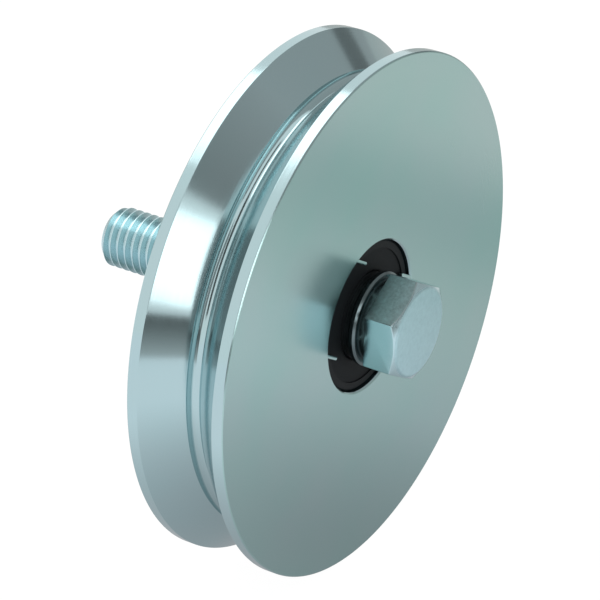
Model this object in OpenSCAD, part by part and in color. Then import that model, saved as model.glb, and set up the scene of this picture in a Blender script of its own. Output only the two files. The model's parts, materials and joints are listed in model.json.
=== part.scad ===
// Sliding gate wheel: a turned steel wheel with a V groove that runs on an angle rail.
// Two sealed ball bearings are staked into its bore, and a hexagon-headed wheel bolt
// carries them between two spacers. The bolt's axis is Y, with the head towards -Y.
// The origin is on that axis, where the rear spacer seats on the gate's plate.

/* [Wheel] */
// Outside diameter of the wheel
wheel_d = 120; // [100:1:160]
// Width between the two faces
wheel_w = 24; // [24:0.5:40]
// Width of the V groove at the rim
groove_w = 18.7; // [12:0.1:21]
// Included angle of the V groove
groove_angle = 90; // [70:1:110]
// Width of the round relief channel at the bottom of the groove
relief_w = 3.7; // [2:0.1:6]
// Chamfer at the outer edge of each face
face_chamfer = 0.3; // [0.2:0.1:1.5]
// Chamfer at each mouth of the bore
bore_chamfer = 0.4; // [0.1:0.1:0.8]

/* [Stakes] */
// Pairs of stake tongues on each face, each pair raised by a tool with two blades
stake_pairs = 2; // [1:1:3]
// Direction of the middle of the first pair, turned about the axis from +X towards +Z
stake_turn = 145.5; // [0:0.5:180]
// Distance of a tongue from the middle line of its pair
stake_offset = 10.8; // [8:0.1:12]
// Width of a tongue
stake_w = 0.8; // [0.6:0.1:1.5]
// Reach of a tongue over the bearing
stake_reach = 4.4; // [2:0.1:5]
// Thickness of a tongue
stake_t = 0.9; // [0.5:0.1:1]

/* [Bearings] */
// Bore of a bearing, which is also the diameter of the bolt's shank
bearing_bore = 15; // [14.5:0.1:16]
// Outside diameter of a bearing, which is also the bore of the wheel
bearing_d = 35; // [34:0.1:40]
// Width of a bearing
bearing_w = 11; // [10:0.1:11]
// Diameter of a ball
ball_d = 5.95; // [5.5:0.05:6.1]
// Balls in each bearing
ball_count = 8; // [6:1:8]
// Play between a ball and each raceway
ball_play = 0.05; // [0.03:0.01:0.1]
// Raceway radius as a share of the ball's diameter
race_share = 0.52; // [0.515:0.005:0.53]
// Depth of a raceway below its shoulders
race_depth = 1.38; // [0.8:0.02:1.5]
// Chamfer at the corners of a ring
ring_chamfer = 0.5; // [0.1:0.1:0.6]

/* [Seals] */
// Wall of the inner ring where a seal's lip runs
land_wall = 2.5; // [2.1:0.1:2.8]
// Width of the outer ring's end face around a seal
ring_face = 2; // [1.4:0.1:2.6]
// Thickness of a seal at its edge
seal_t = 1; // [0.8:0.05:1.2]
// Thickness of a seal's web
seal_web_t = 0.6; // [0.4:0.05:0.7]
// Width of a seal's thick edge
seal_edge = 1.2; // [0.6:0.1:1.6]
// Depth of a seal below the faces of its bearing
seal_inset = 0.3; // [0.1:0.05:0.4]
// Gap between a seal's lip and the inner ring
seal_gap = 0.12; // [0.06:0.02:0.3]

/* [Cages] */
// Radial width of a cage's band
cage_band = 2.2; // [1.6:0.1:2.4]
// Sheet thickness of a cage
cage_t = 0.6; // [0.4:0.05:0.7]
// Play between a ball and its pocket
pocket_play = 0.12; // [0.06:0.02:0.2]
// Diameter of a rivet's shank
rivet_d = 0.9; // [0.6:0.1:1.1]
// Diameter of a rivet's head
rivet_head_d = 1.5; // [1.2:0.1:1.7]
// Height of a rivet's head
rivet_head_h = 0.35; // [0.2:0.05:0.5]

/* [Spacers] */
// Wall of a spacer's sleeve, which stands on a bearing's inner ring
spacer_wall = 1.5; // [1:0.1:2]
// Width of the flange around that sleeve
flange_w = 1.8; // [0.8:0.1:2.4]
// Thickness of the flange
flange_t = 1.8; // [1:0.1:2]
// Reach of each spacer beyond the wheel's face
spacer_reach = 2.2; // [2:0.1:12]
// Chamfer at the outer corners of a flange
flange_chamfer = 0.45; // [0.1:0.05:0.45]

/* [Bolt] */
// Length of the bolt under its head
bolt_length = 70; // [55:1:110]
// Diameter over the thread
thread_d = 14; // [10:0.5:14]
// Chamfer at the end of the thread
thread_chamfer = 1.5; // [0.5:0.1:2]
// Length of the taper from the shank to the thread, which ends at the seat
shank_taper = 0.5; // [0.2:0.1:0.8]
// Width of the head across its flats
head_flats = 21; // [20.8:0.1:24]
// Height of the hexagon
head_h = 8; // [6:0.1:10]
// Direction of a corner of the head, turned about the axis from +X towards +Z
head_turn = 27; // [0:1:59]
// Diameter of the flat on the head's free end
head_face_d = 19.7; // [18:0.1:20.6]
// Slope of the chamfer around that flat
head_slope = 30; // [15:1:35]
// Width of the collar around the shank, between the hexagon and the spacer
collar_w = 2; // [1.5:0.1:2.5]
// Thickness of the collar
collar_t = 2.3; // [0.5:0.1:3]

/* [Hidden] */
$fn = 96;

wheel_r = wheel_d / 2;
half_w = wheel_w / 2;
bore_r = bearing_d / 2;
groove_r = wheel_r - (groove_w - relief_w) / 2 / tan(groove_angle / 2);

// Places along the axis
mid_y = -spacer_reach - half_w;
head_y = mid_y - half_w - spacer_reach;
spacer_length = half_w + spacer_reach - bearing_w;

// Rings and raceways, measured from the axis
shank_r = bearing_bore / 2;
ball_r = ball_d / 2;
pitch_r = (bearing_bore + bearing_d) / 4;
race_r = ball_d * race_share;
inner_race_r = pitch_r - ball_r - ball_play;
outer_race_r = pitch_r + ball_r + ball_play;
inner_shoulder_r = inner_race_r + race_depth;
outer_shoulder_r = outer_race_r - race_depth;
seal_depth = seal_inset + seal_t;
seal_r = bore_r - ring_face;
land_r = shank_r + land_wall;
lip_r = land_r + seal_gap;
sleeve_r = shank_r + spacer_wall;
flange_r = sleeve_r + flange_w;
collar_r = shank_r + collar_w;
pocket_r = ball_r + pocket_play;
ball_step = 360 / ball_count;

// The head's bar stands proud of its turned outline, which clears the corners
corner_r = head_flats / 2 / cos(30);
head_margin = 1;
head_turn_r = corner_r + head_margin;

steel = [0.70, 0.75, 0.76];
bright = [0.82, 0.83, 0.84];
black = [0.10, 0.10, 0.11];

SIDES = ["front", "rear"];
RING_NODES = ["outer_ring", "inner_ring", "cage_half_a", "cage_half_b", "cage_rivets", "seal_a", "seal_b"];
BALL_NODES = [for (i = [1:ball_count]) str("ball_", i)];

// Stands a shape made along +Z on the wheel's axis, with its base at y
module on_axis(y) {
    translate([0, y, 0]) rotate([-90, 0, 0]) children();
}

// Makes a shape once for each end of what it belongs to
module both_ends() {
    children();
    mirror([0, 0, 1]) children();
}

// Places a shape at the middle of the front or the rear bearing
module at_bearing(side) {
    on_axis(mid_y + (side == "front" ? -1 : 1) * bearing_w / 2) children();
}

// Directions of a bearing's balls, half a step apart between the two bearings
function ball_angle(side, i) = (i + (side == "front" ? 0.25 : 0.75)) * ball_step;

module torus(ring_r, tube_r) {
    rotate_extrude() translate([ring_r, 0]) circle(r = tube_r);
}

module wheel_blank() {
    rotate_extrude() polygon([
        [bore_r, -half_w + bore_chamfer],
        [bore_r + bore_chamfer, -half_w],
        [wheel_r - face_chamfer, -half_w],
        [wheel_r, -half_w + face_chamfer],
        [wheel_r, -groove_w / 2],
        [groove_r, -relief_w / 2],
        [groove_r, relief_w / 2],
        [wheel_r, groove_w / 2],
        [wheel_r, half_w - face_chamfer],
        [wheel_r - face_chamfer, half_w],
        [bore_r + bore_chamfer, half_w],
        [bore_r, half_w - bore_chamfer]
    ]);
}

// Repeats a shape that points along +X at each stake
module at_stakes() {
    for (i = [0:stake_pairs - 1], side = [-1, 1])
        rotate([0, 0, i * 360 / stake_pairs - stake_turn]) translate([0, side * stake_offset, 0]) children();
}

// The root of a tongue runs on into the wall of the bore
module stake_tongue() {
    wall_x = sqrt(bore_r * bore_r - stake_offset * stake_offset);
    nose_x = wall_x - stake_reach + stake_w / 2;
    translate([0, 0, bearing_w]) linear_extrude(stake_t) {
        translate([nose_x, 0]) circle(d = stake_w);
        translate([nose_x, -stake_w / 2]) square([stake_reach + stake_w, stake_w]);
    }
}

module wheel_body() {
    color(steel) on_axis(mid_y) {
        difference() {
            wheel_blank();
            torus(groove_r, relief_w / 2);
        }
        both_ends() at_stakes() stake_tongue();
    }
}

// The head stands on z = 0 with its free end, and the collar ends it
module hex_head() {
    face_r = head_face_d / 2;
    intersection() {
        rotate([0, 0, -head_turn]) translate([0, 0, -head_margin])
            cylinder(r = corner_r, h = head_h + collar_t + 2 * head_margin, $fn = 6);
        rotate_extrude() polygon([
            [0, 0],
            [face_r, 0],
            [head_turn_r, (head_turn_r - face_r) * tan(head_slope)],
            [head_turn_r, head_h],
            [collar_r, head_h],
            [collar_r, head_h + collar_t],
            [0, head_h + collar_t]
        ]);
    }
}

// The shaft starts inside the head and runs along +Z from the seat under it
module bolt_shaft() {
    seat = -head_y;
    thread_r = thread_d / 2;
    rotate_extrude() polygon([
        [0, -head_h / 2],
        [shank_r, -head_h / 2],
        [shank_r, seat - shank_taper],
        [thread_r, seat],
        [thread_r, bolt_length - thread_chamfer],
        [thread_r - thread_chamfer, bolt_length],
        [0, bolt_length]
    ]);
}

module wheel_bolt() {
    color(bright) on_axis(head_y) {
        translate([0, 0, -head_h - collar_t]) hex_head();
        bolt_shaft();
    }
}

// A flanged sleeve that lies with its flange on z = 0 and points along +Z
module spacer() {
    color(bright) rotate_extrude() polygon([
        [shank_r, 0],
        [flange_r - flange_chamfer, 0],
        [flange_r, flange_chamfer],
        [flange_r, flange_t - flange_chamfer],
        [flange_r - flange_chamfer, flange_t],
        [sleeve_r, flange_t],
        [sleeve_r, spacer_length],
        [shank_r, spacer_length]
    ]);
}

module front_spacer() {
    on_axis(head_y) spacer();
}

module rear_spacer() {
    on_axis(0) mirror([0, 0, 1]) spacer();
}

// A ring turned from the points of its section above the middle plane and their mirror images
module ring(points) {
    below = [for (i = [len(points) - 1:-1:0]) [points[i].x, -points[i].y]];
    rotate_extrude() polygon(concat(points, below));
}

module outer_ring() {
    end = bearing_w / 2;
    color(black) difference() {
        ring([
            [outer_shoulder_r, end - seal_depth],
            [seal_r, end - seal_depth],
            [seal_r, end],
            [bore_r - ring_chamfer, end],
            [bore_r, end - ring_chamfer]
        ]);
        torus(outer_race_r - race_r, race_r);
    }
}

module inner_ring() {
    end = bearing_w / 2;
    land_end = end - seal_depth - seal_inset;
    color(bright) difference() {
        ring([
            [shank_r, end - ring_chamfer],
            [shank_r + ring_chamfer, end],
            [land_r, end],
            [land_r, land_end],
            [inner_shoulder_r, land_end]
        ]);
        torus(inner_race_r + race_r, race_r);
    }
}

module ball() {
    color(bright) sphere(r = ball_r);
}

module at_balls(side, shift = 0) {
    for (i = [0:ball_count - 1])
        rotate([0, 0, ball_angle(side, i + shift)]) translate([pitch_r, 0, 0]) children();
}

// One pressed half of a cage, on the +Z side of the bearing's middle plane
module cage_half(side) {
    cage_h = pocket_r + cage_t;
    color(bright) difference() {
        intersection() {
            rotate_extrude() translate([pitch_r - cage_band / 2, 0]) square([cage_band, cage_h]);
            union() {
                cylinder(r = pitch_r + cage_band, h = cage_t);
                at_balls(side) sphere(r = pocket_r + cage_t);
            }
        }
        at_balls(side) sphere(r = pocket_r);
        at_balls(side, 0.5) cylinder(d = rivet_d, h = 3 * cage_t, center = true);
    }
}

module cage_rivet() {
    cylinder(d = rivet_d, h = 2 * cage_t, center = true);
    both_ends() translate([0, 0, cage_t]) cylinder(d = rivet_head_d, h = rivet_head_h);
}

// A lip seal at the +Z end of a bearing, seated on the outer ring's shoulder
module seal() {
    web_step = seal_t - seal_web_t;
    color(black) translate([0, 0, bearing_w / 2 - seal_depth]) rotate_extrude() polygon([
        [lip_r, web_step],
        [lip_r + web_step, 0],
        [lip_r + 2 * web_step, web_step],
        [seal_r - seal_edge - web_step, web_step],
        [seal_r - seal_edge, 0],
        [seal_r, 0],
        [seal_r, seal_t],
        [lip_r + web_step, seal_t],
        [lip_r, seal_t - web_step / 2]
    ]);
}

// One piece of the front or rear bearing, by its name in RING_NODES or BALL_NODES
module bearing_piece(side, name) {
    at_bearing(side) {
        if (name == "outer_ring") outer_ring();
        if (name == "inner_ring") inner_ring();
        if (name == "cage_half_a") mirror([0, 0, 1]) cage_half(side);
        if (name == "cage_half_b") cage_half(side);
        if (name == "cage_rivets") color(steel) at_balls(side, 0.5) cage_rivet();
        if (name == "seal_a") mirror([0, 0, 1]) seal();
        if (name == "seal_b") seal();
        for (i = [0:ball_count - 1]) if (name == BALL_NODES[i])
            rotate([0, 0, ball_angle(side, i)]) translate([pitch_r, 0, 0]) ball();
    }
}

wheel_body();
wheel_bolt();
front_spacer();
rear_spacer();
for (side = SIDES, name = concat(RING_NODES, BALL_NODES))
    bearing_piece(side, name);
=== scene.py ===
import json
import math
import bpy
from mathutils import Matrix, Vector


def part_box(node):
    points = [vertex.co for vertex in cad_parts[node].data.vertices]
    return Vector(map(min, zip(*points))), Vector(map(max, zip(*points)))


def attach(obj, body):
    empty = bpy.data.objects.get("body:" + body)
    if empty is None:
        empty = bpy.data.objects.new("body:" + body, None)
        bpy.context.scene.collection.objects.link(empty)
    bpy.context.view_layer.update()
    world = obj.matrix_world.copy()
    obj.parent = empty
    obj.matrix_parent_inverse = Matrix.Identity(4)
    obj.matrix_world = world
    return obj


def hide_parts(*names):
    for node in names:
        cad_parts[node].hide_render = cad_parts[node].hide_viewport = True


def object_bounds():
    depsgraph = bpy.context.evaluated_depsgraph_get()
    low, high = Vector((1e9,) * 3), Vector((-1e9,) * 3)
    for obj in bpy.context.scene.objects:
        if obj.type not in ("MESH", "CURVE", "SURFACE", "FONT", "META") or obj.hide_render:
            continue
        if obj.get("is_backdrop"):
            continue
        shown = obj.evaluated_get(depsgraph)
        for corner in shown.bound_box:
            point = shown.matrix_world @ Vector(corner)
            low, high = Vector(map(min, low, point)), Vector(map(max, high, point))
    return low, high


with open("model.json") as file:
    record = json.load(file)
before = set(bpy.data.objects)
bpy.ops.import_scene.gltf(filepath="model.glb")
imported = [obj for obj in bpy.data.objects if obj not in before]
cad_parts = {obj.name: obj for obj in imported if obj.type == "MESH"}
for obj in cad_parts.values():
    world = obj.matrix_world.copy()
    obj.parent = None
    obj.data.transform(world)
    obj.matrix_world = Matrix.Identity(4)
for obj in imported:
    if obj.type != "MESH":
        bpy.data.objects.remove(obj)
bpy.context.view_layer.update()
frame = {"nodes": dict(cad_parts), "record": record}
nodes = frame["nodes"]
print("frame loaded,", len(nodes), "nodes")

mm = 0.001
fullTurn = 2 * math.pi
quarterTurn = math.pi / 2
mergeGap = 0.002 * mm   # points closer than this become one
white = (1.0, 1.0, 1.0, 1.0)


# A shader socket that takes part in Python sums
class Wire:
    def __init__(self, tree, socket):
        self.tree = tree
        self.socket = socket

    def sum(self, operation, first, second):
        node = self.tree.nodes.new("ShaderNodeMath")
        node.operation = operation
        for slot, value in zip(node.inputs, (first, second)):
            if isinstance(value, Wire):
                self.tree.links.new(value.socket, slot)
            else:
                slot.default_value = value
        return Wire(self.tree, node.outputs[0])

    def __add__(self, other):
        return self.sum("ADD", self, other)

    def __radd__(self, other):
        return self.sum("ADD", other, self)

    def __sub__(self, other):
        return self.sum("SUBTRACT", self, other)

    def __rsub__(self, other):
        return self.sum("SUBTRACT", other, self)

    def __mul__(self, other):
        return self.sum("MULTIPLY", self, other)

    def __rmul__(self, other):
        return self.sum("MULTIPLY", other, self)

    def __truediv__(self, other):
        return self.sum("DIVIDE", self, other)

    def __pow__(self, other):
        return self.sum("POWER", self, other)

    def above(self, other):
        return self.sum("GREATER_THAN", self, other)

    def size(self):
        return self.sum("ABSOLUTE", self, 0.0)

    def swing(self, share):   # a noise's rise and fall about its middle
        return (self - 0.5) * share

    def mixed(self, other, share):   # so much of this one, and the rest from the other
        return self * share + other * (1.0 - share)


# One node tree under construction
class Finish:
    def __init__(self, owner):
        owner.use_nodes = True
        self.owner = owner
        self.tree = owner.node_tree
        self.tree.nodes.clear()

    def node(self, kind, settings=None, sockets=None, out=0):
        made = self.tree.nodes.new(kind)
        for name, value in (settings or {}).items():
            if name == "stops":
                while len(made.color_ramp.elements) < len(value):
                    made.color_ramp.elements.new(1.0)
                for element, (place, colour) in zip(made.color_ramp.elements, value):
                    element.position = place
                    element.color = (*colour, 1.0)
            else:
                setattr(made, name, value)
        for name, value in (sockets or {}).items():
            slot = made.inputs[name]
            if isinstance(value, Wire):
                self.tree.links.new(value.socket, slot)
            else:
                slot.default_value = value
        return Wire(self.tree, made.outputs[out]) if made.outputs else None

    def blend(self, factor, first, second):
        return self.node("ShaderNodeMix", {"data_type": "RGBA"},
                         {0: factor, 6: first, 7: second}, out=2)

    def vector(self, x, y, z):
        return self.node("ShaderNodeCombineXYZ", None, {"X": x, "Y": y, "Z": z})

    def noise(self, vector, scale, detail=2.0, roughness=0.5):
        return self.node("ShaderNodeTexNoise", None,
                         {"Vector": vector, "Scale": scale, "Detail": detail, "Roughness": roughness})

    # Noise that runs in rings about the axis
    def rings(self, radius, y, scale, third=0.0, detail=2.0, roughness=0.5):
        return self.noise(self.vector(radius * scale, y * scale, third), 1.0, detail, roughness)

    def relief(self, height, look):
        return self.node("ShaderNodeBump", None, {
            "Strength": look["bumpStrength"], "Distance": look["bumpDistance"], "Height": height})

    def metal(self, tint, rough, normal):
        return self.surface(self.node("ShaderNodeBsdfPrincipled", None, {
            "Base Color": tint, "Metallic": 1.0, "Roughness": rough, "Normal": normal}))

    def surface(self, shader):
        self.node("ShaderNodeOutputMaterial", None, {"Surface": shader})
        return self.owner


def newFinish(name):
    return Finish(bpy.data.materials.new(name))


# Object coordinates split into distance from the axis and place along it
def turnedCoordinates(finish):
    place = finish.node("ShaderNodeTexCoord", None, None, out=3)
    split = finish.tree.nodes.new("ShaderNodeSeparateXYZ")
    finish.tree.links.new(place.socket, split.inputs[0])
    x, y, z = (Wire(finish.tree, socket) for socket in split.outputs)
    radius = (x * x + z * z) ** 0.5
    return place, x, y, z, radius


zincPlate = {
    "teal": (0.41, 0.59, 0.61, 1.0),
    "pale": (0.46, 0.62, 0.64, 1.0),
    "faceTeal": (0.36, 0.60, 0.575, 1.0),
    "facePale": (0.44, 0.62, 0.60, 1.0),
    "faceDepth": 0.0002,
    "rose": (0.50, 0.59, 0.62, 1.0),
    "driftScale": 34.0,
    "driftFrom": 0.30,
    "lineScale": 3600.0,
    "lineRun": 40.0,        # how soon a line changes on its way round
    "bandScale": 90.0,
    "bandSeed": 0.3,
    "bandShare": 0.5,
    "cloudScale": 26.0,
    "turnedRoughness": 0.12,
    "faceRoughness": 0.25,
    "lineRoughness": 0.07,
    "cloudRoughness": 0.06,
    "bumpDistance": 0.00002,
    "bumpStrength": 0.20,
}


# Bright zinc over turned steel: fine rings about the axis, satin faces and a faint change of tint
def makeZinc(name, look):
    low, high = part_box("wheel_body")
    finish = newFinish(name)
    place, x, y, z, radius = turnedCoordinates(finish)
    lines = finish.rings(radius, y, look["lineScale"], (x + z) * look["lineRun"], detail=3.0, roughness=0.6)
    bands = finish.rings(radius, y, look["bandScale"], look["bandSeed"])
    clouds = finish.noise(place, look["cloudScale"], detail=3.0, roughness=0.55)
    drift = finish.noise(place, look["driftScale"])
    onFace = (y - (low.y + high.y) / 2).size().above((high.y - low.y) / 2 - look["faceDepth"])
    mottle = bands.mixed(clouds, look["bandShare"])
    turned = finish.blend(mottle, look["teal"], look["pale"])
    face = finish.blend(mottle, look["faceTeal"], look["facePale"])
    tint = finish.blend(onFace, turned, face)
    tint = finish.blend(drift - look["driftFrom"], tint, look["rose"])
    rough = look["turnedRoughness"] + onFace * (look["faceRoughness"] - look["turnedRoughness"])
    rough = rough + lines.swing(look["lineRoughness"]) + clouds.swing(look["cloudRoughness"])
    return finish.metal(tint, rough, finish.relief(lines, look))


boltPlate = {
    "teal": (0.46, 0.66, 0.70, 1.0),
    "pale": (0.56, 0.73, 0.76, 1.0),
    "face": (0.36, 0.57, 0.61, 1.0),
    "facePale": (0.56, 0.78, 0.82, 1.0),
    "faceScale": 900.0,
    "faceDepth": 0.0003,
    "faceMottle": 0.24,
    # a darker, rougher tint on the two opposite flats that face the way scaleTurn gives
    "scale": (0.26, 0.315, 0.32, 1.0),
    "scaleTurn": 117.0,
    "scaleFrom": 0.01035,
    "scaleLeast": 0.30,
    "scaleGrain": 0.90,
    # painted shade: dark tint for the neck between the head and the seat, standing in for the head's shade
    "paintedNeckShade": (0.13, 0.165, 0.17, 1.0),
    "paintedNeckShadeFrom": 0.0081,
    "paintedNeckShadeTo": 0.0102,
    "grainScale": 1500.0,
    "cloudScale": 210.0,
    "cloudShare": 0.7,
    "roughness": 0.19,
    "faceRoughness": 0.36,
    "scaleRoughness": 0.44,
    "threadRoughness": 0.06,
    "cloudRoughness": 0.14,
    "grainRoughness": 0.10,
    "bumpGrain": 0.7,
    "bumpDistance": 0.00004,
    "bumpStrength": 0.35,
}


# Zinc over a forged and rolled bolt: a fine pitted grain, a satin end, a darker and rougher tint on two
# opposite flats, and painted shade darkening the neck under the head
def makeBoltZinc(name, look):
    low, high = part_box("wheel_bolt")
    finish = newFinish(name)
    place, x, y, z, radius = turnedCoordinates(finish)
    grain = finish.noise(place, look["grainScale"], detail=3.0, roughness=0.6)
    clouds = finish.noise(place, look["cloudScale"], detail=3.0, roughness=0.55)
    mottle = finish.noise(place, look["faceScale"], detail=3.0, roughness=0.6)
    # darker, rougher tint on two opposite flats of the head
    turn = math.radians(look["scaleTurn"])
    scale = (x * math.cos(turn) + z * math.sin(turn)).size().above(look["scaleFrom"])
    scale = scale * (look["scaleLeast"] + grain * look["scaleGrain"])
    face = (low.y + look["faceDepth"] - y).above(0.0)
    # painted shade: the neck under the head is darkened as if it lay in the head's shade
    paintedNeckShade = (y - (low.y + look["paintedNeckShadeFrom"])).above(0.0) * (low.y + look["paintedNeckShadeTo"] - y).above(0.0)
    tint = finish.blend(clouds.mixed(grain, look["cloudShare"]), look["teal"], look["pale"])
    tint = finish.blend(face, tint, finish.blend(mottle, look["face"], look["facePale"]))
    tint = finish.blend(scale, tint, look["scale"])
    tint = finish.blend(paintedNeckShade, tint, look["paintedNeckShade"])
    rough = look["roughness"] + face * (look["faceRoughness"] - look["roughness"])
    rough = rough + y.above(0.0) * look["threadRoughness"] + face * mottle.swing(look["faceMottle"])
    rough = rough + scale * (look["scaleRoughness"] - look["roughness"])
    rough = rough + clouds.swing(look["cloudRoughness"]) + grain.swing(look["grainRoughness"])
    return finish.metal(tint, rough, finish.relief(grain.mixed(clouds, look["bumpGrain"]), look))


# painted shade: a dark tint for the sleeves, which sit in shade beside the black bearing and under the bolt
# head
shadedSpacerPlate = {
    "cool": (0.13, 0.175, 0.185, 1.0), "warm": (0.19, 0.24, 0.25, 1.0),
    "lineScale": 4200.0, "lineRoughness": 0.10,
    "cloudScale": 300.0, "cloudDetail": 3.0, "cloudGrit": 0.55, "cloudRoughness": 0.12,
    "roughness": 0.24, "bumpDistance": 0.00002, "bumpStrength": 0.2,
}
groundSteel = {
    "cool": (0.62, 0.63, 0.65, 1.0), "warm": (0.70, 0.69, 0.67, 1.0),
    "lineScale": 5200.0, "lineRoughness": 0.10,
    "cloudScale": 160.0, "cloudDetail": 2.0, "cloudGrit": 0.5, "cloudRoughness": 0.05,
    "roughness": 0.12, "bumpDistance": 0.00001, "bumpStrength": 0.2,
}
pressedSheet = {
    "cool": (0.50, 0.50, 0.50, 1.0), "warm": (0.60, 0.58, 0.54, 1.0),
    "lineScale": 5200.0, "lineRoughness": 0.14,
    "cloudScale": 160.0, "cloudDetail": 2.0, "cloudGrit": 0.5, "cloudRoughness": 0.05,
    "roughness": 0.30, "bumpDistance": 0.00001, "bumpStrength": 0.2,
}


# The turned sleeves' zinc, made dark as painted shade, and the ground or pressed steel inside the bearings
def makeSteel(name, look):
    finish = newFinish(name)
    place, x, y, z, radius = turnedCoordinates(finish)
    lines = finish.rings(radius, y, look["lineScale"])
    clouds = finish.noise(place, look["cloudScale"], look["cloudDetail"], look["cloudGrit"])
    tint = finish.blend(clouds, look["cool"], look["warm"])
    rough = look["roughness"] + lines.swing(look["lineRoughness"]) + clouds.swing(look["cloudRoughness"])
    return finish.metal(tint, rough, finish.relief(lines, look))


blackSteel = {
    "dark": (0.006, 0.008, 0.009, 1.0), "worn": (0.013, 0.016, 0.018, 1.0),
    "lineScale": 2400.0, "grainScale": 2600.0, "mainShare": 0.6,
    "roughness": 0.50, "grainRoughness": 0.2, "gloss": 0.10,
    "bumpDistance": 0.00002, "bumpStrength": 0.3,
}
sealRubber = {
    "dark": (0.006, 0.008, 0.009, 1.0), "worn": (0.012, 0.015, 0.017, 1.0),
    "lineScale": 2600.0, "grainScale": 4200.0, "mainShare": 0.6,
    "roughness": 0.58, "grainRoughness": 0.2, "gloss": 0.10,
    "bumpDistance": 0.00004, "bumpStrength": 0.3,
}


# Blackened steel or moulded rubber, both with faint rings
def makeBlack(name, look):
    finish = newFinish(name)
    place, x, y, z, radius = turnedCoordinates(finish)
    rings = finish.rings(radius, y, look["lineScale"])
    grain = finish.noise(place, look["grainScale"])
    share = look["mainShare"]
    return finish.surface(finish.node("ShaderNodeBsdfPrincipled", None, {
        "Base Color": finish.blend(grain.mixed(rings, share), look["dark"], look["worn"]),
        "Roughness": look["roughness"] + grain.swing(look["grainRoughness"]),
        "Specular IOR Level": look["gloss"],
        "Normal": finish.relief(rings.mixed(grain, share), look)}))


finishes = {
    "zinc_steel": makeZinc("zincSteel", zincPlate),
    "zinc_bolt": makeBoltZinc("zincBolt", boltPlate),
    "bearing_steel": makeSteel("bearingSteel", groundSteel),
    "cage_steel": makeSteel("cageSteel", pressedSheet),
    "black_steel": makeBlack("blackSteel", blackSteel),
    "seal_rubber": makeBlack("sealRubber", sealRubber),
}
# painted shade: the sleeves take the darkened zinc
spacerZinc = makeSteel("spacerZinc", shadedSpacerPlate)
for subpart in frame["record"]["subparts"]:
    isSpacer = subpart["node"].endswith("spacer")
    mesh = nodes[subpart["node"]].data
    mesh.materials.clear()
    mesh.materials.append(spacerZinc if isSpacer else finishes[subpart["material_slot"]])
print("finishes made")


# A chain of edges through points given as distance from the axis and place along it
def drawProfile(name, points):
    bpy.ops.object.select_all(action="DESELECT")
    bpy.ops.mesh.primitive_plane_add(size=mm, location=(0.0, 0.0, 0.0))
    made = bpy.context.object
    made.name = name
    made.data.name = name
    bpy.ops.object.mode_set(mode="EDIT")
    bpy.ops.mesh.select_all(action="SELECT")
    bpy.ops.mesh.merge(type="CENTER")
    bpy.ops.transform.translate(value=(points[0][0] * mm, points[0][1] * mm, 0.0))
    for (fromR, fromY), (toR, toY) in zip(points, points[1:]):
        bpy.ops.mesh.extrude_region_move(
            TRANSFORM_OT_translate={"value": ((toR - fromR) * mm, (toY - fromY) * mm, 0.0)})
    bpy.ops.object.mode_set(mode="OBJECT")
    return made


def closeNormals(made):
    bpy.ops.object.mode_set(mode="EDIT")
    bpy.ops.mesh.select_all(action="SELECT")
    bpy.ops.mesh.remove_doubles(threshold=mergeGap)
    bpy.ops.mesh.normals_make_consistent(inside=False)
    bpy.ops.object.mode_set(mode="OBJECT")


# A solid of revolution about the Y axis
def turnProfile(name, points, steps):
    made = drawProfile(name, points)
    bpy.ops.object.mode_set(mode="EDIT")
    bpy.ops.mesh.select_all(action="SELECT")
    bpy.ops.mesh.spin(steps=steps, angle=fullTurn, center=(0.0, 0.0, 0.0), axis=(0.0, 1.0, 0.0))
    bpy.ops.object.mode_set(mode="OBJECT")
    closeNormals(made)
    return made


def applyModifier(made, kind, settings):
    bpy.ops.object.select_all(action="DESELECT")
    bpy.context.view_layer.objects.active = made
    made.select_set(True)
    modifier = made.modifiers.new(kind.lower(), kind)
    for name, value in settings.items():
        setattr(modifier, name, value)
    bpy.ops.object.modifier_apply(modifier=modifier.name)


def combine(made, tool, operation):
    applyModifier(made, "BOOLEAN", {"object": tool, "operation": operation, "solver": "EXACT"})
    bpy.data.objects.remove(tool)


wheelSizes = {
    "grooveW": 18.7,
    "grooveAngle": 90.0,
    "reliefW": 3.7,
    "reliefSteps": 18,
    "faceChamfer": 0.3,
    "boreR": 17.5,
    "boreChamfer": 0.4,
    "edge": 0.12,
    "edgeSteps": 4,
    "edgeLoop": 0.08,       # a loop beside each rounded edge keeps the flats flat
    "steps": 288,
    "tongueTurns": (145.5, 325.5),
    "tongueOffset": 10.8,
    "tongueW": 0.8,
    "tongueReach": 4.4,
    "tongueT": 0.9,
    "tongueDepth": 0.1,
    "tongueEdge": 0.1,
    "tongueEdgeSteps": 3,
    "tongueEdgeAngle": 40.0,
    "tongueNose": 32,       # points round the blank that a tongue is pulled from
    "tongueSplit": 0.01,    # points of the blank beyond this are pulled along
    "smoothAngle": 30.0,
}


# Replaces each corner of a closed outline by a small arc with a support point on either side
def roundCorners(outline, look):
    rounded = []
    for i, (corner, sharp) in enumerate(outline):
        if not sharp:
            rounded.append(corner)
            continue
        here = Vector(corner)
        back = (Vector(outline[i - 1][0]) - here).normalized()
        on = (Vector(outline[(i + 1) % len(outline)][0]) - here).normalized()
        half = back.angle(on) / 2
        cut = look["edge"] / math.tan(half)
        centre = here + (back + on).normalized() * look["edge"] / math.sin(half)
        first = here + back * cut - centre
        last = here + on * cut - centre
        sweep = math.pi - 2 * half
        rounded.append(here + back * (cut + look["edgeLoop"]))
        for k in range(look["edgeSteps"] + 1):
            share = k / look["edgeSteps"]
            rounded.append(centre + (first * math.sin((1 - share) * sweep) + last * math.sin(share * sweep))
                           / math.sin(sweep))
        rounded.append(here + on * (cut + look["edgeLoop"]))
    return rounded


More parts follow.
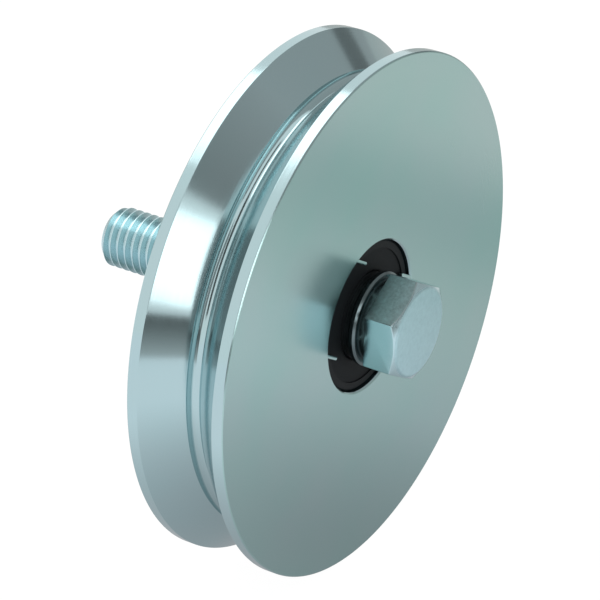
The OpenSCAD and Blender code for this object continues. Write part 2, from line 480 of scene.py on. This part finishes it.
# One side of the wheel's turned outline, from the bore's mouth to the bottom of the groove
def wheelSide(look, wheelR, mid, half, way):
    slope = math.tan(math.radians(look["grooveAngle"] / 2))
    grooveR = wheelR - (look["grooveW"] - look["reliefW"]) / 2 / slope
    face = mid + way * half
    side = [((look["boreR"], face - way * look["boreChamfer"]), True),
            ((look["boreR"] + look["boreChamfer"], face), True),
            ((wheelR - look["faceChamfer"], face), True),
            ((wheelR, face - way * look["faceChamfer"]), True),
            ((wheelR, mid + way * look["grooveW"] / 2), True),
            ((grooveR, mid + way * look["reliefW"] / 2), True)]
    for k in range(1, look["reliefSteps"] // 2):
        turn = math.pi * k / look["reliefSteps"]
        side.append(((grooveR - look["reliefW"] / 2 * math.sin(turn),
                      mid + way * look["reliefW"] / 2 * math.cos(turn)), False))
    return side, ((grooveR - look["reliefW"] / 2, mid), False)


# A stake tongue: a bar with a round nose that runs out of the bore's wall over the bearing
def makeTongue(look, turn, offset, middle):
    wallX = math.sqrt(look["boreR"] ** 2 - offset ** 2)
    bpy.ops.object.select_all(action="DESELECT")
    bpy.ops.mesh.primitive_cylinder_add(vertices=look["tongueNose"], radius=look["tongueW"] / 2 * mm,
                                        depth=look["tongueT"] * mm)
    tongue = bpy.context.object
    bpy.ops.object.mode_set(mode="EDIT")
    bpy.ops.mesh.select_all(action="DESELECT")
    bpy.ops.object.mode_set(mode="OBJECT")
    for vertex in tongue.data.vertices:
        vertex.select = vertex.co.x > look["tongueSplit"] * mm
    bpy.ops.object.mode_set(mode="EDIT")
    bpy.ops.mesh.select_mode(type="VERT")
    bpy.ops.transform.translate(value=(look["tongueReach"] * mm, 0.0, 0.0))
    bpy.ops.object.mode_set(mode="OBJECT")
    applyModifier(tongue, "BEVEL", {
        "width": look["tongueEdge"] * mm, "segments": look["tongueEdgeSteps"], "limit_method": "ANGLE",
        "angle_limit": math.radians(look["tongueEdgeAngle"])})
    lie = Matrix.Rotation(quarterTurn, 4, "X")
    noseX = wallX - look["tongueReach"] + look["tongueW"] / 2
    place = Matrix.Translation((noseX * mm, middle * mm, offset * mm))
    tongue.matrix_world = Matrix.Rotation(-math.radians(turn), 4, "Y") @ place @ lie
    bpy.ops.object.transform_apply(location=True, rotation=True, scale=True)
    return tongue


def finishPiece(made, body, node, slot, angle):
    closeNormals(made)
    bpy.ops.object.select_all(action="DESELECT")
    bpy.context.view_layer.objects.active = made
    made.select_set(True)
    bpy.ops.object.shade_smooth_by_angle(angle=math.radians(angle))
    made.data.materials.clear()
    made.data.materials.append(finishes[slot])
    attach(made, body)
    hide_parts(node)
    print(made.name, "made,", len(made.data.polygons), "faces")


# The wheel is turned from its outline, with its edges slightly rounded, and gets its tongues on both faces
def makeWheel(look):
    low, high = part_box("wheel_body")
    wheelR = high.z / mm
    mid = (low.y + high.y) / 2 / mm
    half = (high.y - low.y) / 2 / mm
    near, bottom = wheelSide(look, wheelR, mid, half, -1)
    far, bottom = wheelSide(look, wheelR, mid, half, 1)
    outline = roundCorners(near + [bottom] + far[::-1], look)
    wheel = turnProfile("wheel", outline + outline[:1], look["steps"])
    for way in (-1, 1):
        middle = mid + way * (half - look["tongueDepth"] - look["tongueT"] / 2)
        for turn in look["tongueTurns"]:
            for offset in (-look["tongueOffset"], look["tongueOffset"]):
                combine(wheel, makeTongue(look, turn, offset, middle), "UNION")
    finishPiece(wheel, "wheel", "wheel_body", "zinc_steel", look["smoothAngle"])


makeWheel(wheelSizes)

boltSizes = {
    "pitch": 2.0,
    "majorR": 7.0,
    "minorR": 5.77,
    "crest": 0.25,
    "root": 0.5,
    "endChamfer": 1.5,
    "runOut": 2.2,
    "shankR": 7.5,
    "taper": 0.5,
    "collarR": 9.5,
    "collarT": 2.3,
    "flats": 21.0,
    "cornerTurn": 27.0,
    "faceR": 9.85,
    "faceSlope": 30.0,
    "headH": 8.0,
    "edge": 0.18,
    "edgeSteps": 3,
    "edgeAngle": 20.0,
    "steps": 72,
    "headSteps": 180,
    "hexHalf": 30.0,        # degrees from a corner to the middle of a flat
    "collarEdge": 0.2,
    "overlap": 0.5,         # how far the collar runs into the head
    "plainEnd": 1.2,        # plain length past the seat before the thread
    "threadFrom": 0.4,
    "leadTurns": 3,         # spare turns of thread before its trimming
    "trimSpare": 0.4,       # room around the thread and the head for the trimming shapes
    "headSpare": 1.0,
    "blankSpare": 2.0,
    "smoothAngle": 24.0,
}


# Thread cut on the bolt: one pitch of the profile carried around as a helix and trimmed to the chamfered end
def makeThread(look, end):
    flank = (look["pitch"] - look["crest"] - look["root"]) / 2
    begin = -look["leadTurns"] * look["pitch"]
    turns = int((end - begin) / look["pitch"]) + look["leadTurns"]
    points = [(look["minorR"], begin), (look["minorR"], begin + look["root"]),
              (look["majorR"], begin + look["root"] + flank),
              (look["majorR"], begin + look["root"] + flank + look["crest"]),
              (look["minorR"], begin + look["pitch"])]
    thread = drawProfile("thread", points)
    applyModifier(thread, "SCREW", {
        "axis": "Y", "angle": fullTurn, "screw_offset": look["pitch"] * mm, "iterations": turns,
        "steps": look["steps"], "render_steps": look["steps"],
        "use_merge_vertices": True, "merge_threshold": mergeGap})
    bpy.ops.object.mode_set(mode="EDIT")
    bpy.ops.mesh.select_all(action="SELECT")
    bpy.ops.mesh.remove_doubles(threshold=mergeGap)
    bpy.ops.mesh.select_all(action="DESELECT")
    bpy.ops.mesh.select_non_manifold(extend=False)
    bpy.ops.mesh.fill()
    bpy.ops.object.mode_set(mode="OBJECT")
    closeNormals(thread)
    outerR = look["majorR"] + look["trimSpare"]
    envelope = turnProfile("envelope", [
        (0.0, look["threadFrom"]), (outerR, look["threadFrom"]),
        (outerR, end - look["endChamfer"] - look["trimSpare"]),
        (look["majorR"] - look["endChamfer"], end), (0.0, end)], look["steps"])
    combine(thread, envelope, "INTERSECT")
    return thread


# Hexagon with its free end chamfered by turning, and every edge slightly rounded
def makeHead(look, seat):
    origin = (0.0, 0.0, 0.0)
    cornerR = look["flats"] / 2 / math.cos(math.radians(look["hexHalf"]))
    outerR = cornerR + look["headSpare"]
    free = seat - look["collarT"] - look["headH"]
    blankH = look["headH"] + look["blankSpare"]
    bpy.ops.object.select_all(action="DESELECT")
    bpy.ops.mesh.primitive_cylinder_add(vertices=6, radius=cornerR * mm, depth=blankH * mm, location=origin)
    head = bpy.context.object
    head.name = "head"
    bpy.ops.object.mode_set(mode="EDIT")
    bpy.ops.mesh.select_all(action="SELECT")
    bpy.ops.transform.rotate(value=quarterTurn, orient_axis="X", center_override=origin)
    turn = math.radians(look["cornerTurn"] + look["hexHalf"])
    bpy.ops.transform.rotate(value=turn, orient_axis="Y", center_override=origin)
    middle = free + (look["headH"] - look["blankSpare"]) / 2
    bpy.ops.transform.translate(value=(0.0, middle * mm, 0.0))
    bpy.ops.object.mode_set(mode="OBJECT")
    rise = (outerR - look["faceR"]) * math.tan(math.radians(look["faceSlope"]))
    envelope = turnProfile("envelope", [
        (0.0, free), (look["faceR"], free), (outerR, free + rise), (outerR, free + look["headH"]),
        (0.0, free + look["headH"])], look["headSteps"])
    combine(head, envelope, "INTERSECT")
    applyModifier(head, "BEVEL", {
        "width": look["edge"] * mm, "segments": look["edgeSteps"], "limit_method": "ANGLE",
        "angle_limit": math.radians(look["edgeAngle"])})
    return head


# The bolt's turned core, joined with its thread and its head
def makeBolt(look):
    low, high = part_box("wheel_bolt")
    end = high.y / mm
    seat = low.y / mm + look["headH"] + look["collarT"]
    inHead = seat - look["collarT"] - look["overlap"]
    runOutEnd = look["plainEnd"] + look["runOut"]
    bolt = turnProfile("bolt", [
        (0.0, inHead), (look["collarR"], inHead),
        (look["collarR"], seat - look["collarEdge"]), (look["collarR"] - look["collarEdge"], seat),
        (look["shankR"], seat), (look["shankR"], -look["taper"]),
        (look["majorR"], 0.0), (look["majorR"], look["plainEnd"]),
        (look["minorR"], runOutEnd), (0.0, runOutEnd)], look["steps"])
    combine(bolt, makeThread(look, end), "UNION")
    combine(bolt, makeHead(look, seat), "UNION")
    finishPiece(bolt, "axle", "wheel_bolt", "zinc_bolt", look["smoothAngle"])


makeBolt(boltSizes)

cameraLook = {
    "azimuth": -59.47,
    "elevation": 31.60,
    "distance": 0.800,
    "focalPx": 3643.0,
    "framePx": 600.0,
    "hubPx": (370.6, 315.8),   # where the middle of the near face lies in the photograph
    "sensor": 36.0,
    "clipEnd": 20.0,
}


def placeCamera(look):
    low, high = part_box("wheel_body")
    hub = Vector((0.0, low.y, 0.0))
    turn = math.radians(look["azimuth"])
    tilt = math.radians(look["elevation"])
    back = Vector((math.sin(turn) * math.cos(tilt), -math.cos(turn) * math.cos(tilt), math.sin(tilt)))
    right = Vector((0.0, 0.0, 1.0)).cross(back).normalized()
    up = back.cross(right)
    offX = (look["hubPx"][0] - look["framePx"] / 2) / look["focalPx"]
    offY = (look["hubPx"][1] - look["framePx"] / 2) / look["focalPx"]
    axis = (back + right * offX - up * offY).normalized()   # away from the picture's middle
    right = Vector((0.0, 0.0, 1.0)).cross(axis).normalized()
    up = axis.cross(right)
    data = bpy.data.cameras.new("camera")
    data.sensor_width = look["sensor"]
    data.lens = look["focalPx"] / look["framePx"] * look["sensor"]
    data.clip_end = look["clipEnd"]
    camera = bpy.data.objects.new("camera", data)
    bpy.context.scene.collection.objects.link(camera)
    turnMatrix = Matrix((right, up, axis)).transposed().to_4x4()
    camera.matrix_world = Matrix.Translation(hub + back * look["distance"]) @ turnMatrix
    bpy.context.scene.camera = camera


placeCamera(cameraLook)
print("camera placed")

studio = {
    "floorSize": 6.0,
    "floorColour": (0.80, 0.80, 0.80, 1.0),
    "floorWhite": 0.93,
    "floorGlow": 1.05,
    # painted shade on the floor as reflections see it: darker near the wheel and in bands across
    "shade": {"x": -0.005, "y": -0.022, "reach": 0.15, "near": 0.394, "far": 1.036},
    "across": {"width": 0.40, "stops": (
        (0.125, (0.96, 0.965, 1.0)),
        (0.24, (0.70, 0.71, 0.71)),
        (0.32, (0.48, 0.55, 0.54)),
        (0.37, (0.44, 0.53, 0.52)),
        (0.44, (0.76, 0.745, 0.735)),
        (0.60, (0.76, 0.745, 0.735)),
        (0.80, (0.50, 0.51, 0.50)))},
    "ambient": 1.0,
    "softboxes": {
        "frontLeft": {"azimuth": -23.0, "elevation": 15.5, "distance": 1.2, "width": 0.45, "height": 0.52,
                      "watts": 0.98},
        "rearTop": {"azimuth": 160.0, "elevation": 58.0, "distance": 1.2, "width": 1.05, "height": 0.36,
                    "watts": 1.7},
    },
    "flags": {
        "front": {"azimuth": 13.0, "elevation": 31.0, "distance": 1.3, "width": 1.05, "height": 1.32,
                  "levels": (0.27, 0.46), "along": "x"},
        "right": {"azimuth": 73.0, "elevation": 27.0, "distance": 1.3, "width": 2.0, "height": 1.5,
                  "levels": (0.47, 0.40), "along": "x"},
        "side": {"azimuth": -96.0, "elevation": 42.0, "distance": 1.2, "width": 0.52, "height": 1.35,
                 "levels": (0.12, 0.12), "along": "x"},
        "behind": {"azimuth": -56.0, "elevation": 24.0, "distance": 1.1, "width": 0.42, "height": 1.10,
                   "levels": (0.29, 0.29), "along": "x"},
        "post": {"azimuth": 80.0, "elevation": 8.5, "distance": 1.1, "width": 0.20, "height": 0.18,
                 "levels": (0.19, 0.19), "along": "x"},
        "ceiling": {"azimuth": -90.0, "elevation": 84.0, "distance": 1.2, "width": 0.28, "height": 0.80,
                    "levels": (0.12, 0.12), "along": "x"},
        "strip": {"azimuth": -33.0, "elevation": -3.1, "distance": 0.28, "width": 0.42, "height": 0.070,
                  "levels": (0.54, 0.05), "along": "y"},
    },
}


# Place of a lamp or flag around the wheel, turned to face it
def aroundWheel(look):
    low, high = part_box("wheel_body")
    turn = math.radians(look["azimuth"])
    tilt = math.radians(look["elevation"])
    away = Vector((math.sin(turn) * math.cos(tilt), -math.cos(turn) * math.cos(tilt), math.sin(tilt)))
    place = (low + high) / 2 + away * look["distance"]
    return Matrix.Translation(place) @ away.to_track_quat("Z", "Y").to_matrix().to_4x4()


def makeSoftbox(name, look):
    data = bpy.data.lights.new(name, "AREA")
    data.shape = "RECTANGLE"
    data.size = look["width"]
    data.size_y = look["height"]
    data.energy = look["watts"]
    lamp = bpy.data.objects.new(name, data)
    bpy.context.scene.collection.objects.link(lamp)
    lamp.matrix_world = aroundWheel(look)


# A grey card that only reflections see
def makeFlag(name, look):
    bpy.ops.object.select_all(action="DESELECT")
    bpy.ops.mesh.primitive_plane_add(size=1.0)
    card = bpy.context.object
    card.name = name
    card.matrix_world = aroundWheel(look) @ Matrix.Diagonal((look["width"], look["height"], 1.0, 1.0))
    finish = newFinish(name)
    place, x, y, z, radius = turnedCoordinates(finish)
    first, last = ((level, level, level, 1.0) for level in look["levels"])
    share = {"x": x, "y": y}[look["along"]] + 0.5   # 0 at one end of the card and 1 at the other
    card.data.materials.append(finish.surface(finish.node("ShaderNodeEmission", None, {
        "Color": finish.blend(share, first, last), "Strength": 1.0})))
    card.visible_camera = False
    card.visible_diffuse = False
    card.visible_transmission = False
    card.visible_shadow = False
    card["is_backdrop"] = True


# Pale floor: white to the camera; to reflections it is an emission card with painted shade, darker near the
# wheel and in bands across, and it keeps a trace of the shadow
def makeFloor(look):
    low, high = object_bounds()
    bpy.ops.object.select_all(action="DESELECT")
    bpy.ops.mesh.primitive_plane_add(size=look["floorSize"], location=(0.0, 0.0, low.z))
    floor = bpy.context.object
    floor.name = "floor"
    finish = newFinish("paleFloor")
    # painted shade: in reflections the floor darkens towards the wheel as if under its shadow, with darker
    # bands across
    shade = look["shade"]
    place, x, y, z, radius = turnedCoordinates(finish)
    alongX = x - shade["x"]
    alongY = y - shade["y"]
    away = (alongX * alongX + alongY * alongY) ** 0.5
    level = finish.node("ShaderNodeMapRange", {"interpolation_type": "SMOOTHSTEP"}, {
        "Value": away, "From Max": shade["reach"], "To Min": shade["near"], "To Max": shade["far"]})
    across = finish.node("ShaderNodeValToRGB", {
        "stops": look["across"]["stops"]}, {0: x / look["across"]["width"]})
    path = finish.tree.nodes.new("ShaderNodeLightPath")
    seen = Wire(finish.tree, path.outputs["Is Camera Ray"])
    mirrored = Wire(finish.tree, path.outputs["Is Glossy Ray"])
    diffuse = finish.node("ShaderNodeBsdfDiffuse", None, {"Color": look["floorColour"]})
    shaded = finish.node("ShaderNodeMix", {"data_type": "RGBA", "blend_type": "MULTIPLY"},
                         {0: 1.0, 6: across, 7: level}, out=2)
    card = finish.node("ShaderNodeEmission", None, {"Color": shaded, "Strength": 1.0})
    glow = finish.node("ShaderNodeEmission", None, {"Color": white, "Strength": look["floorGlow"]})
    lower = finish.node("ShaderNodeMixShader", None, {0: mirrored, 1: diffuse, 2: card})
    floor.data.materials.append(finish.surface(
        finish.node("ShaderNodeMixShader", None, {0: seen * look["floorWhite"], 1: lower, 2: glow})))
    floor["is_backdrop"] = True


def makeWorld(look):
    world = bpy.data.worlds.new("studio")
    bpy.context.scene.world = world
    finish = Finish(world)
    back = finish.node("ShaderNodeBackground", None, {"Color": white, "Strength": look["ambient"]})
    finish.node("ShaderNodeOutputWorld", None, {"Surface": back})


makeFloor(studio)
makeWorld(studio)
for name, look in studio["softboxes"].items():
    makeSoftbox(name, look)
for name, look in studio["flags"].items():
    makeFlag(name, look)
bpy.context.scene.view_settings.view_transform = "Standard"
print("studio made")
